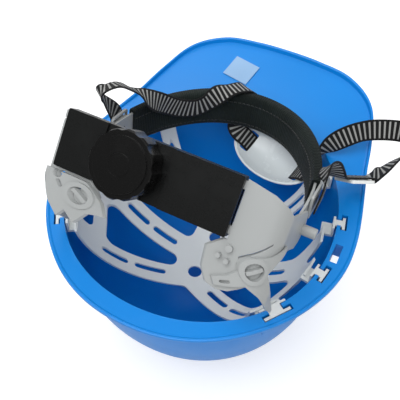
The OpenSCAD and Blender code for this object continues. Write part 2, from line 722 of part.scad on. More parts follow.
loop_route = [
    [[57.3, 72.6, -2], [0, -0.86, 0.5]], [[60, 76.5, 7], [0.4, -0.6, 0.6]],
    [[66, 82.5, 15], [0.35, -0.4, 0.85]], [[74, 89, 20.5], [0, 0.1, 1]], [[83, 95.5, 24], [-0.25, 0.45, 0.85]],
    [[94, 100.5, 26], [-0.35, 0.65, 0.65]], [[107, 104.5, 27], [-0.35, 0.6, 0.7]],
    [[117, 103, 28], [-0.15, 0.3, 0.95]], [[120.5, 95, 28], [0.1, -0.1, 1]],
    [[117, 86, 27], [0.3, -0.3, 0.9]], [[111, 76, 25], [0.45, -0.35, 0.8]], [[106, 67.5, 20.5], [0.6, -0.4, 0.7]]
];
tail_route = [
    [[81.3, 43.5, 27.5], [0.65, -0.35, 0.7]], [[79.3, 40.5, 34.5], [0.6, -0.2, 0.75]],
    [[77, 36, 42.5], [0.55, -0.1, 0.8]], [[75.8, 29, 46.8], [0.5, 0, 0.87]], [[77.6, 22.5, 47], [0.3, -0.4, 0.85]],
    [[79.8, 16.5, 42.5], [0.1, -0.85, 0.45]], [[79.4, 13, 34.5], [0, -1, 0.1]], [[78.9, 12, 28], [0, -1, -0.1]]
];
strap_parts = 3;
function turned(p, a, b, c) =
    let(q = [p[0], p[1] * cos(a) - p[2] * sin(a), p[1] * sin(a) + p[2] * cos(a)],
        r = [q[0] * cos(b) + q[2] * sin(b), q[1], q[2] * cos(b) - q[0] * sin(b)])
    [r[0] * cos(c) - r[1] * sin(c), r[0] * sin(c) + r[1] * cos(c), r[2]];
function cup_turned(p) = turned(p, cup_turn[0], cup_turn[1], cup_turn[2]);
function slider_turned(p) = turned(p, slider_turn[0], slider_turn[1], slider_turn[2]);
function cup_station(q) = [cup_at + cup_turned([q[0], 0, q[1] - cup_sink]), cup_turned([0, -1, 0])];
function slider_station(x) =
    [slider_at + slider_turned([x, 0, slider_t / 2 + strap_t / 2 + strap_gap]), slider_turned([0, -1, 0])];
strap_gap = 0.5;
function pick(r, i) = r[max(0, min(len(r) - 1, i))];
function smooth_route(r, n) = concat(
    [for (i = [0:len(r) - 2]) for (k = [0:n - 1])
        [for (c = [0, 1]) spline(pick(r, i - 1)[c], r[i][c], r[i + 1][c], pick(r, i + 2)[c], k / n)]],
    [r[len(r) - 1]]);
module webbing(route) {
    s = smooth_route(route, strap_parts);
    m = len(s) - 1;
    rows = [for (i = [0:m])
        let(d = pick(s, i + 1)[0] - pick(s, i - 1)[0], t = d / norm(d), w0 = s[i][1] - t * (s[i][1] * t),
            w = w0 / norm(w0) * strap_w / 2, n = cross(t, w0) / norm(w0) * strap_t / 2, p = s[i][0])
        [p + w + n, p - w + n, p - w - n, p + w - n]];
    points = [for (r = rows) each r];
    faces = concat([[0, 1, 2, 3]],
        [for (i = [0:m - 1]) for (k = [0:3])
            let(a = i * 4 + k, b = i * 4 + (k + 1) % 4) each [[a, a + 4, b], [b, a + 4, b + 4]]],
        [[4 * m + 3, 4 * m + 2, 4 * m + 1, 4 * m]]);
    translate([0, 0, rim_z]) polyhedron(points, faces, convexity = 8);
}
module chin_strap() {
    color([0.08, 0.08, 0.08]) webbing(concat(strap_route, [for (q = cup_route) cup_station(q)], loop_route,
        [for (x = [14, 11, 5, 3 * strap_gap]) slider_station(x)]));
}
module strap_tail() {
    color([0.09, 0.09, 0.09]) webbing(concat([for (x = [-3 * strap_gap, -5, -10, -13]) slider_station(x)], tail_route));
}

// Chin cup
cup_w = 40;
cup_t = 1.6;
cup_deep = 7;
cup_at = [22.7, 78.1, -12.5];
cup_turn = [21, 0, -14];
cup_sink = 4;
slot_w = 7;
cup_steps = 32;
function oval(l, w, t) = [l / 2 * cos(t), w / 2 * sin(t)];
function cup_row(f, z) = [for (i = [0:cup_steps - 1])
    let(p = oval(cup_l * f, cup_w * f, i * 360 / cup_steps)) [p[0], p[1], z]];
module chin_cup() {
    color([0.88, 0.9, 0.9]) translate([cup_at[0], cup_at[1], rim_z + cup_at[2]])
        rotate(cup_turn) translate([0, 0, -cup_sink]) difference() {
            closed_loft([cup_row(0.35, -cup_deep), cup_row(0.7, -cup_deep * 0.7), cup_row(0.93, -cup_deep * 0.15),
                cup_row(1, 0.4), cup_row(1.06, 0.8), cup_row(1.06, 2.2), cup_row(0.99, 2.2),
                cup_row(0.93, cup_t - cup_deep * 0.15), cup_row(0.7, cup_t - cup_deep * 0.7),
                cup_row(0.35, cup_t - cup_deep)], [0, 0, -cup_deep - 0.3], [0, 0, cup_t - cup_deep - 0.3]);
            for (s = [-1, 1]) translate([s * (cup_l / 2 - 9), 0, 0])
                cube([slot_w, strap_w + 2.5, 40], center = true);
        }
}

// Strap fittings
slider_l = 19.3;
slider_w = 21;
slider_t = 2.2;
slider_at = [91.5, 54.6, 16.8];
slider_turn = [-40, 18.5, 43];
module strap_slider() {
    color([0.85, 0.87, 0.86]) translate([slider_at[0], slider_at[1], rim_z + slider_at[2]])
        rotate(slider_turn) difference() {
        linear_extrude(height = slider_t, center = true) offset(r = 1.5, $fn = 20)
            square([slider_l - 3, slider_w - 3], center = true);
        for (s = [-1, 1]) translate([s * 4.2, 0, 0]) cube([3.2, strap_w + 1, 10], center = true);
    }
}
hook_half = strap_w / 2 + 1.6;
module strap_hook(s) {
    color([0.7, 0.72, 0.72]) band_frame() scale([s, 1, 1]) translate([band_a + 0.3, hook_y, 0]) union() {
        rotate([90, 0, 90]) linear_extrude(height = 1.8) difference() {
            offset(r = 2, $fn = 20) translate([2 - hook_half, -13]) square([2 * hook_half - 4, 14]);
            translate([-strap_w / 2 - 0.3, -1.6]) square([strap_w + 0.6, 2.8]);
        }
        translate([-band_t - 0.3, 0, hook_peg_z]) rotate([0, 90, 0])
            cylinder(d = hook_peg_d, h = band_t + 0.4, $fn = 32);
    }
}

// Blank label on the peak
label_at = [-29.4, 128.6];
label_s = [22.5, 20];
label_turn = -10;
label_t = 0.4;
module label_blank() {
    slope = atan(2 * peak_rise * (label_at[1] - rise_from) / pow(peak_reach - rise_from, 2));
    color([0.85, 0.9, 0.98]) translate([label_at[0], label_at[1], rim_z + rise(label_at[1]) + 0.5])
        rotate([slope, 0, 0]) rotate([0, 0, label_turn]) linear_extrude(height = label_t) square(label_s, center = true);
}

shell();
cradle();
headband_front();
sweatband();
temple_pin(-1);  // temple_pin_left
temple_pin(1);  // temple_pin_right
nape_wing(-1);  // nape_wing_left
nape_wing(1);  // nape_wing_right
hanger(-1);  // hanger_left
hanger(1);  // hanger_right
ratchet_cover();
ratchet_back();
case_screws();
ratchet_knob();
knob_cap();
knob_screw();
pinion();
pawl_wheel();
detent_ring();
chin_strap();
strap_tail();
chin_cup();
strap_slider();
strap_hook(-1);  // strap_hook_left
strap_hook(1);  // strap_hook_right
label_blank();
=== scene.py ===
import math
import bpy
import bmesh
from mathutils import Matrix, Vector


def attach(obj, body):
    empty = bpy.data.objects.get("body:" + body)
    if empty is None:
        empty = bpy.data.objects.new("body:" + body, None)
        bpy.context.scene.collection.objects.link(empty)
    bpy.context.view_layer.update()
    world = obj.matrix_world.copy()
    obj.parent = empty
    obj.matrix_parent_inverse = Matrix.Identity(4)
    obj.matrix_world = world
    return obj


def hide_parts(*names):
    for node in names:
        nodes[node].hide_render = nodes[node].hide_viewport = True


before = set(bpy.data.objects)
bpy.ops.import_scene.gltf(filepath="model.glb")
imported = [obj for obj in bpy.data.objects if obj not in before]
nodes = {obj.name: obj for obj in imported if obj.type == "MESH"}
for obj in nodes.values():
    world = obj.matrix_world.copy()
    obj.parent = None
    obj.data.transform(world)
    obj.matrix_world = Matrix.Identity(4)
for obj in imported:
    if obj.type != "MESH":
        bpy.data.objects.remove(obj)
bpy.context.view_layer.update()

MM = 0.001


# ---------------------------------------------------------------- sizes, as in the part's source, mm
rim_w, rim_back, peak_reach, peak_rise, bowl_depth, wall = 221.0, 105.5, 157.5, 19.0, 134.0, 2.6
flange_side, flange_back, flange_t, lip_t, lip_h, peak_lip_h = 12.9, 11.5, 2.5, 2.0, 1.0, 3.2
bowl_n, profile_n, rise_from, ridge_proud, peak_land = 2.05, 2.45, 40.0, 4.0, 49.0
rim_z = bowl_depth + ridge_proud
bowl_a, bowl_back, bowl_front = rim_w / 2 - flange_side, rim_back - flange_back, peak_reach - peak_land
# the rim's outline: its radius every 10 degrees, from the back to the peak
rim_radii = [105.5, 105.8, 106.1, 106.2, 106.1, 106.4, 107.3, 108.3, 109.6, 110.5,
             111.1, 112.8, 116.8, 124.5, 139, 155.8, 161.2, 158.8, 157.5]
# rim pockets: angle, half the pocket's width, half the key's width
sockets = [(43, 7, 4.5), (17.5, 6.5, 5), (-8.5, 7, 5.5), (-33, 10.5, 9.5)]
slot_at, slot_half, slot_out = 2.2, 7.5, 5.0
pocket_out, pocket_deep, boss_wall, notch_deep = 4.2, 11.5, 2.0, 3.6
notch_gap, neck = 0.4, 0.5
band_x, band_z, band_lean, band_a, band_nose = 3.0, 42.0, 13.5, 72.0, 100.0
band_t, band_h, sweat_t, sweat_gap, sweat_from = 1.6, 27.0, 5.0, 0.3, 13.8
strap_w, strap_t, strap_gap = 15.0, 1.2, 0.5
cup_l, cup_w, cup_t, cup_deep, slot_w = 66.0, 40.0, 1.6, 7.0, 7.0
cup_at, cup_turn, cup_sink = (22.7, 78.1, -12.5), (21, 0, -14), 4.0
slider_at, slider_turn, slider_t = (91.5, 54.6, 16.8), (-40, 18.5, 43), 2.2

# the webbing's centreline, with its height over the rim plane, and the direction across it:
# from the left clip over the sweatband to the chin cup
strap_route = [
    ((-72.1, 12, 30), (0, -1, 0.1)), ((-73, 13, 41), (0.1, -1, 0)), ((-77, 9, 53), (0.65, -0.75, -0.1)),
    ((-78, 6, 61), (0.82, -0.53, -0.19)), ((-75, 7, 67), (0.47, -0.84, 0.28)),
    ((-70, 13, 68.5), (0.77, -0.48, 0.42)), ((-66, 19, 64), (0.9, -0.39, 0.19)),
    ((-62, 25.5, 55.5), (0.9, -0.41, 0.13)), ((-56.8, 33.1, 45.4), (0.5, -0.6, -0.6)),
    ((-52.1, 44.9, 33), (0, 0.23, 0.97)), ((-45.9, 55.7, 22.9), (0, 0.23, 0.97)),
    ((-38.5, 65.6, 17.9), (0, 0.23, 0.97)), ((-32.2, 73.1, 19.6), (0, 0.23, 0.97)),
    ((-27, 80.5, 23.8), (-0.4, 0.5, 0.6)), ((-20.5, 89, 25), (-0.7, 0.7, -0.1)),
    ((-13.5, 98.8, 23), (-0.85, 0.5, -0.1)), ((-10, 104.5, 15), (-0.97, 0.2, 0)),
    ((-10, 102, 5), (-1, -0.1, 0)), ((-13, 98, -7), (-0.9, -0.4, -0.1)),
    ((-14.5, 91, -10.4), (-0.6, -0.75, -0.2)),
]
# through the cup's two slots, in the cup's own x and z
cup_route = [(-33, 4.4), (-27.8, 1.9), (-24, -2.6), (-20.3, -7.1), (-14, -9.3), (0, -9.5), (14, -9.3),
             (20.3, -7.1), (24, -2.6), (27.8, 1.9), (31, 4.2), (34, 6.6)]
# from the cup out over the right side of the rim and back to the slider
loop_route = [
    ((57.3, 72.6, -2), (0, -0.86, 0.5)), ((60, 76.5, 7), (-0.1, -0.55, 0.75)),
    ((66, 82.5, 15), (-0.5, 0.05, 0.75)), ((74, 89, 20.5), (-0.45, 0.45, 0.75)),
    ((83, 95.5, 24), (-0.25, 0.45, 0.85)), ((94, 100.5, 26), (-0.35, 0.65, 0.65)),
    ((107, 104.5, 27), (-0.35, 0.6, 0.7)), ((117, 103, 28), (-0.15, 0.3, 0.95)),
    ((120.5, 95, 28), (0.1, -0.1, 1)), ((117, 86, 27), (0.3, -0.3, 0.9)),
    ((111, 76, 25), (0.45, -0.35, 0.8)), ((106, 67.5, 20.5), (0.6, -0.4, 0.7)),
]
# over the slider, in the slider's own x
slider_route = (14, 11, 5, 1.5, -1.5, -5, -10, -13)
# from the slider to the right clip
tail_route = [
    ((81.3, 43.5, 27.5), (0.65, -0.35, 0.7)), ((79.3, 40.5, 34.5), (0.6, -0.2, 0.75)),
    ((77, 36, 42.5), (0.55, -0.1, 0.8)), ((75.8, 29, 46.8), (0.5, 0, 0.87)),
    ((77.6, 22.5, 47), (0.3, -0.4, 0.85)), ((79.8, 16.5, 42.5), (0.1, -0.85, 0.45)),
    ((79.4, 13, 34.5), (0, -1, 0.1)), ((78.9, 12, 28), (0, -1, -0.1)),
]


# ---------------------------------------------------------------- small helpers
def sind(t):
    return math.sin(math.radians(t))


def cosd(t):
    return math.cos(math.radians(t))


def power(v, n):
    return abs(v) ** n


def spline(a, b, c, d, t):
    """The point at share t of the way from b to c on a curve through all four."""
    square, cube = 2 * a - 5 * b + 4 * c - d, 3 * b - a - 3 * c + d
    return 0.5 * ((2 * b) + (c - a) * t + square * t * t + cube * t ** 3)


def smoothed(rows, steps, straight=()):
    """The pairs of values with each stretch split along a spline, or evenly for those in straight."""
    last = len(rows) - 1
    out = []
    for i in range(last):
        a, b, c, d = (rows[max(0, min(last, i + j))] for j in (-1, 0, 1, 2))
        for k in range(steps):
            t = k / steps
            if i in straight:
                out.append(tuple(b[v] + (c[v] - b[v]) * t for v in (0, 1)))
            else:
                out.append(tuple(spline(a[v], b[v], c[v], d[v], t) for v in (0, 1)))
    return out


def turn_matrix(turn):
    """Rotation by the angles about X, then Y, then Z."""
    rx, ry, rz = (Matrix.Rotation(math.radians(angle), 4, axis) for angle, axis in zip(turn, "XYZ"))
    return rz @ ry @ rx


def linked(name, data):
    """A new object in the scene that holds the data."""
    ob = bpy.data.objects.new(name, data)
    bpy.context.scene.collection.objects.link(ob)
    return ob


def edit_mesh(ob, change):
    """Runs change on the object's mesh, opened as a bmesh."""
    bm = bmesh.new()
    bm.from_mesh(ob.data)
    change(bm)
    bm.to_mesh(ob.data)
    bm.free()


def soften(ob, angle):
    """Smooth shading, kept sharp where faces meet at more than the angle."""
    def mark(bm):
        for f in bm.faces:
            f.smooth = True
        for e in bm.edges:
            e.smooth = len(e.link_faces) == 2 and e.calc_face_angle(0) < math.radians(angle)
    edit_mesh(ob, mark)


def fix_outward(ob):
    """Turns the faces of a solid that is inside out."""
    def turn(bm):
        if bm.calc_volume(signed=True) < 0:
            bmesh.ops.reverse_faces(bm, faces=bm.faces)
    edit_mesh(ob, turn)


def fix_faces(ob):
    """Gives all the faces of a small block one outward direction."""
    edit_mesh(ob, lambda bm: bmesh.ops.recalc_face_normals(bm, faces=bm.faces))


def mesh_object(name, points, faces, material, smooth=35.0):
    """An object from points in mm."""
    me = bpy.data.meshes.new(name)
    me.from_pydata([[c * MM for c in p] for p in points], [], faces)
    me.validate()
    ob = linked(name, me)
    if material is not None:
        me.materials.append(material)
    soften(ob, smooth)
    return ob


def tube_faces(rings, n, flip=False):
    """Quads from each ring of n points to the next."""
    faces = []
    for k in range(rings - 1):
        for i in range(n):
            a, b = k * n + i, k * n + (i + 1) % n
            faces.append((a, a + n, b + n, b) if flip else (a, b, b + n, a + n))
    return faces


def ring_face(k, n, flip=False):
    """The face that closes ring k of n points."""
    ring = range(k * n, (k + 1) * n)
    return tuple(reversed(ring) if flip else ring)


def capped_faces(rings, n, flip=False):
    """The faces of a tube that is closed at both ends."""
    return [ring_face(0, n, not flip)] + tube_faces(rings, n, flip) + [ring_face(rings - 1, n, flip)]


def add_weave(ob, uvs):
    """The UV layer that the fabrics use, from one pair of values for each point."""
    layer = ob.data.uv_layers.new(name="weave")
    for loop in ob.data.loops:
        layer.data[loop.index].uv = uvs[loop.vertex_index]


def baked(ob, name):
    """The object with its modifiers applied, as a plain mesh object."""
    deps = bpy.context.evaluated_depsgraph_get()
    deps.update()
    out = linked(name, bpy.data.meshes.new_from_object(ob.evaluated_get(deps)))
    bpy.data.objects.remove(ob, do_unlink=True)
    out.name = name
    return out


def combined(ob, operation, others, name):
    """The object after an exact boolean with each of the others, which are then removed."""
    for other in others:
        m = ob.modifiers.new("cut", "BOOLEAN")
        m.operation, m.object, m.solver = operation, other, "EXACT"
    ob = baked(ob, name)
    for other in others:
        bpy.data.objects.remove(other, do_unlink=True)
    return ob


# ---------------------------------------------------------------- node trees and materials
def feed(tree, n, inputs):
    """Gives each named input of a node its value, or the link when the value is a socket."""
    for key, value in inputs.items():
        if isinstance(value, bpy.types.NodeSocket):
            tree.links.new(value, n.inputs[key])
        else:
            n.inputs[key].default_value = value


def node(tree, kind, inputs=None, **settings):
    n = tree.nodes.new(kind)
    for key, value in settings.items():
        setattr(n, key, value)
    feed(tree, n, inputs or {})
    return n


def calc(tree, operation, *values, **settings):
    """The result of a maths node."""
    return node(tree, "ShaderNodeMath", dict(enumerate(values)), operation=operation, **settings).outputs[0]


def mapped(tree, value, from_min, from_max, to_min=0.0, to_max=1.0, **settings):
    """The value taken from one range to another."""
    inputs = {"Value": value, "From Min": from_min, "From Max": from_max, "To Min": to_min, "To Max": to_max}
    return node(tree, "ShaderNodeMapRange", inputs, **settings).outputs["Result"]


def noise(tree, scale, detail, roughness=0.5):
    """Noise that stays with the object."""
    where = node(tree, "ShaderNodeTexCoord").outputs["Object"]
    inputs = {"Vector": where, "Scale": scale, "Detail": detail, "Roughness": roughness}
    return node(tree, "ShaderNodeTexNoise", inputs).outputs["Fac"]


def group(name, kind, inputs, outputs):
    """A node group with its input and output nodes. An input may end with its value."""
    g = bpy.data.node_groups.new(name, kind)
    for label, socket, *value in inputs:
        s = g.interface.new_socket(name=label, in_out="INPUT", socket_type=socket)
        if value:
            s.default_value = value[0]
    for label, socket in outputs:
        g.interface.new_socket(name=label, in_out="OUTPUT", socket_type=socket)
    return g, g.nodes.new("NodeGroupInput").outputs, g.nodes.new("NodeGroupOutput")


def moulded_group():
    """Moulded plastic: slow colour drift, fine grain and a few rubbed patches."""
    g, given, out = group("moulded_surface", "ShaderNodeTree",
                          [("Colour", "NodeSocketColor"), ("Drift", "NodeSocketFloat"),
                           ("Grain per metre", "NodeSocketFloat"), ("Roughness", "NodeSocketFloat"),
                           ("Rub", "NodeSocketFloat")],
                          [("Colour", "NodeSocketColor"), ("Roughness", "NodeSocketFloat"),
                           ("Height", "NodeSocketFloat")])
    slow = noise(g, 9.0, 3.0)
    fine = noise(g, given["Grain per metre"], 4.0)
    patch = noise(g, 38.0, 6.0, 0.7)
    drift = calc(g, "MULTIPLY", mapped(g, slow, 0.3, 0.7, -1.0, 1.0), given["Drift"])
    tint = node(g, "ShaderNodeHueSaturation", {"Color": given["Colour"], "Value": calc(g, "ADD", drift, 1.0)})
    rubbed = calc(g, "ADD", given["Roughness"], mapped(g, patch, 0.5, 0.75, 0.0, given["Rub"]))
    rough = calc(g, "ADD", rubbed, mapped(g, fine, 0.2, 0.8, -0.03, 0.03), use_clamp=True)
    feed(g, out, {"Colour": tint.outputs["Color"], "Roughness": rough, "Height": fine})
    return g


MOULDED = moulded_group()


def new_material(name):
    m = bpy.data.materials.new(name)
    m.use_nodes = True
    return m, m.node_tree, m.node_tree.nodes["Principled BSDF"]


def plastic(name, colour, roughness, drift=0.05, grain=900.0, bump=0.05, rub=0.08, **extra):
    """A material on the moulded group. The grain is per metre; extra names inputs of the shader."""
    m, t, bsdf = new_material(name)
    surface = node(t, "ShaderNodeGroup", node_tree=MOULDED)
    feed(t, surface, {"Colour": (*colour, 1), "Drift": drift, "Grain per metre": grain,
                      "Roughness": roughness, "Rub": rub})
    relief = node(t, "ShaderNodeBump",
                  {"Height": surface.outputs["Height"], "Strength": bump, "Distance": 0.0003})
    feed(t, bsdf, {"Base Color": surface.outputs["Colour"], "Roughness": surface.outputs["Roughness"],
                   "Normal": relief.outputs["Normal"], "Coat Roughness": 0.12})
    feed(t, bsdf, {key.replace("_", " "): value for key, value in extra.items()})
    return m


shell_blue = plastic("shell_blue", (0.001, 0.215, 0.66), 0.32, drift=0.04, grain=1400, bump=0.02,
                     Specular_IOR_Level=0.35)
harness_grey = plastic("harness_grey", (0.68, 0.71, 0.71), 0.42, drift=0.04, grain=1600)
band_grey = plastic("band_grey", (0.35, 0.365, 0.365), 0.4, drift=0.04, grain=1600)
housing_black = plastic("housing_black", (0.0045, 0.005, 0.005), 0.28, drift=0.15, grain=2600, bump=0.14,
                        rub=0.12, Specular_IOR_Level=0.3)
knob_black = plastic("knob_black", (0.0025, 0.0025, 0.0025), 0.26, drift=0.12, grain=2200, bump=0.06,
                     rub=0.1, Specular_IOR_Level=0.28)
gear_white = plastic("gear_white", (0.72, 0.72, 0.69), 0.4)
slider_white = plastic("slider_white", (0.8, 0.82, 0.81), 0.3)
label_pale = plastic("label_pale", (0.24, 0.41, 0.64), 0.24, drift=0.1, grain=300, bump=0.03)
cup_milky = plastic("cup_milky", (0.58, 0.63, 0.65), 0.24, drift=0.02, grain=300, bump=0.0, Coat_Weight=0.2)
screw_steel = plastic("screw_steel", (0.62, 0.62, 0.64), 0.3, drift=0.1, grain=3000, bump=0.1, Metallic=1.0)

THREADS_ACROSS = 22   # over the width of the webbing
THREADS_ALONG = 5     # in each repeat of its stripes


def webbing_material():
    """Woven webbing: black, with pale weft stripes that stop short of the selvedges, and painted shade and
    light that follow its weave.
    """
    m, t, bsdf = new_material("webbing_striped")
    uv = node(t, "ShaderNodeUVMap", uv_map="weave")
    xy = node(t, "ShaderNodeSeparateXYZ", {0: uv.outputs["UV"]}).outputs
    along = calc(t, "FRACT", xy["Y"])
    start = mapped(t, along, 0.56, 0.64, interpolation_type="SMOOTHSTEP")
    end = mapped(t, along, 1.0, 0.92, interpolation_type="SMOOTHSTEP")
    off_middle = calc(t, "ABSOLUTE", calc(t, "SUBTRACT", xy["X"], 0.5))
    stripe = calc(t, "MULTIPLY", calc(t, "MULTIPLY", start, end), mapped(t, off_middle, 0.41, 0.38))
    across = calc(t, "SINE", calc(t, "MULTIPLY", xy["X"], THREADS_ACROSS * 2 * math.pi))
    down = calc(t, "SINE", calc(t, "MULTIPLY", xy["Y"], THREADS_ALONG * 2 * math.pi))
    weave = calc(t, "MULTIPLY", across, down)
    colour = node(t, "ShaderNodeMix", {0: stripe, 6: (0.006, 0.006, 0.0065, 1), 7: (0.38, 0.385, 0.375, 1)},
                  data_type="RGBA")
    # the weave's relief is painted into the colour as well: painted shade where the threads dip, painted
    # highlight where they rise
    tint = node(t, "ShaderNodeHueSaturation",
                {"Color": colour.outputs[2], "Value": mapped(t, weave, -1.0, 1.0, 0.75, 1.1)})
    bump = node(t, "ShaderNodeBump",
                {"Height": calc(t, "ADD", weave, stripe), "Strength": 0.55, "Distance": 0.00025})
    feed(t, bsdf, {"Base Color": tint.outputs["Color"], "Normal": bump.outputs["Normal"], "Roughness": 0.72,
                   "Sheen Weight": 0.05, "Specular IOR Level": 0.25})
    return m


def pad_material():
    """Knitted sweatband cover: dark green black, with a fine mesh and a brushed nap."""
    m, t, bsdf = new_material("pad_knit")
    uv = node(t, "ShaderNodeUVMap", uv_map="weave").outputs["UV"]
    wale = node(t, "ShaderNodeTexWave", {"Vector": uv, "Scale": 0.5, "Distortion": 0.6, "Detail": 2.0},
                bands_direction="X")
    course = node(t, "ShaderNodeTexWave", {"Vector": uv, "Scale": 0.9, "Distortion": 1.2, "Detail": 2.0},
                  bands_direction="Y")
    knit = calc(t, "MULTIPLY", wale.outputs["Fac"], course.outputs["Fac"])
    cloth = calc(t, "MULTIPLY_ADD", noise(t, 420.0, 5.0), knit, noise(t, 26.0, 3.0))
    ramp = node(t, "ShaderNodeValToRGB", {"Fac": cloth})
    low, high = ramp.color_ramp.elements
    low.position, low.color = 0.35, (0.004, 0.0075, 0.007, 1)
    high.position, high.color = 1.0, (0.015, 0.024, 0.0215, 1)
    bump = node(t, "ShaderNodeBump", {"Height": cloth, "Strength": 0.7, "Distance": 0.0005})
    feed(t, bsdf, {"Base Color": ramp.outputs["Color"], "Normal": bump.outputs["Normal"], "Roughness": 0.85,
                   "Sheen Weight": 0.06, "Sheen Roughness": 0.5, "Specular IOR Level": 0.2})
    return m


webbing_striped = webbing_material()
pad_knit = pad_material()
stitch_thread = plastic("stitch_thread", (0.009, 0.013, 0.012), 0.7, drift=0.2, grain=4000, bump=0.4,
                        Sheen_Weight=0.3)


# ---------------------------------------------------------------- camera
PHOTO_PX = 400        # width and height of the photograph
FOCAL_PX = 607.5      # focal length that fits it, in its pixels
SENSOR = 36


def set_camera():
    az, el = math.radians(27.9), math.radians(52.0)
    away = Vector((-math.sin(az) * math.cos(el), math.cos(az) * math.cos(el), -math.sin(el)))
    right = Vector((math.cos(az), math.sin(az), 0))
    up = right.cross(away)
    place = Vector((0.1231, -0.2325, 0.3368 + rim_z * MM))
    cam = bpy.data.cameras.new("camera")
    ob = linked("camera", cam)
    ob.matrix_world = Matrix((*((right[c], up[c], -away[c], place[c]) for c in (0, 1, 2)), (0, 0, 0, 1)))
    cam.sensor_width = SENSOR
    cam.lens = FOCAL_PX / PHOTO_PX * SENSOR
    cam.shift_x, cam.shift_y = 0.5 / PHOTO_PX, 1.6 / PHOTO_PX
    cam.clip_start = 0.01
    bpy.context.scene.camera = ob


set_camera()


# ---------------------------------------------------------------- webbing of the chin strap
TURN_OVER = 9         # the first point after the turn
ROUTE_SPLITS = 8      # spline steps between two points of a route
ROUTE_STEP = 0.8      # spacing of the sections, mm
ROUTE_PASSES = 6      # rounds of averaging, which take the kinks out
STRIPE = 3.45         # spacing of the pale stripes, mm
# the webbing's outline, in shares of its width and thickness, with rounded selvedges
SECTION = [(-0.5, 0), (-0.485, 0.36), (-0.44, 0.5), (-0.25, 0.46), (0, 0.44), (0.25, 0.46), (0.44, 0.5),
           (0.485, 0.36), (0.5, 0), (0.485, -0.36), (0.44, -0.5), (0.25, -0.46), (0, -0.44), (-0.25, -0.46),
           (-0.44, -0.5), (-0.485, -0.36)]


def station(at, turn, x, z):
    """A point of the webbing, and the direction across it, in a piece that has its own place and turn."""
    m = turn_matrix(turn)
    return Vector(at) + m @ Vector((x, 0, z)), m @ Vector((0, -1, 0))


def route_points():
    def free(route):
        return [(Vector(p), Vector(w)) for p, w in route]
    on_slider = slider_t / 2 + strap_t / 2 + strap_gap
    r = free(strap_route)
    r += [station(cup_at, cup_turn, x, z - cup_sink) for x, z in cup_route]
    r += free(loop_route)
    r += [station(slider_at, slider_turn, x, on_slider) for x in slider_route]
    r += free(tail_route)
    # the webbing turns over once, where the left arch comes down to the sweatband
    return r[:TURN_OVER] + [(p, -w) for p, w in r[TURN_OVER:]]


def relaxed_route(s, step, passes):
    """The route at even steps, with its sharpest kinks rounded as webbing rounds them."""
    out, left = [s[0]], step
    for (p, w), (q, v) in zip(s, s[1:]):
        run, at = (q - p).length, 0.0
        while run - at > left:
            at += left
            out.append((p.lerp(q, at / run), w.lerp(v, at / run)))
            left = step
        left -= run - at
    out.append(s[-1])
    for _ in range(passes):
        inner = [tuple((a[c] + b[c] * 2 + d[c]) / 4 for c in (0, 1))
                 for a, b, d in zip(out, out[1:], out[2:])]
        out = [out[0]] + inner + [out[-1]]
    return out


def make_webbing():
    """The webbing, its centreline and its length, both in metres."""
    points_in = route_points()
    route = relaxed_route(smoothed(points_in, ROUTE_SPLITS) + [points_in[-1]], ROUTE_STEP, ROUTE_PASSES)
    points, uvs, path, run = [], [], [], 0.0
    for i, (here, across) in enumerate(route):
        before, after = route[max(0, i - 1)][0], route[min(len(route) - 1, i + 1)][0]
        along = (after - before).normalized()
        across = across - along * across.dot(along)
        width = across.normalized() * strap_w
        thick = along.cross(across).normalized() * strap_t
        run += (here - before).length
        for x, y in SECTION:
            points.append(here + width * x + thick * y + Vector((0, 0, rim_z)))
            uvs.append((x + 0.5, run / STRIPE))
        path.append([here.x * MM, here.y * MM, (here.z + rim_z) * MM])
    faces = capped_faces(len(route), len(SECTION), True)
    ob = mesh_object("chin_webbing", points, faces, webbing_striped, 60)
    add_weave(ob, uvs)
    fix_outward(ob)
    return ob, path, run * MM


webbing, web_path, web_length = make_webbing()
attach(webbing, "helmet")
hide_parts("chin_strap", "strap_tail")


# ---------------------------------------------------------------- chin cup
CUP_TURNS = 96        # points round the cup
CUP_STEPS = 5         # rings between two points of its profile
CUP_SLOT_IN = 9       # from the cup's end to the middle of its slot
CUP_SLOT_MORE = 2.5   # how much longer the slot is than the webbing is wide
SLOT_CORNER = 1.2


def rounded_slot(x, w, l, h):
    """A block with round corners that cuts a slot at x."""
    r, dx, dy = SLOT_CORNER, w / 2 - SLOT_CORNER, l / 2 - SLOT_CORNER
    outline = []
    for cx, cy, first in ((dx, dy, 0), (-dx, dy, 90), (-dx, -dy, 180), (dx, -dy, 270)):
        for k in range(5):
            a = first + k * 22.5
            outline.append((x + cx + r * cosd(a), cy + r * sind(a)))
    n = len(outline)
    points = [(*p, z) for z in (-h, h) for p in outline]
    faces = [ring_face(0, n, True), ring_face(1, n)]
    faces += [(i, (i + 1) % n, n + (i + 1) % n, n + i) for i in range(n)]
    return mesh_object("cup_cut", points, faces, None)


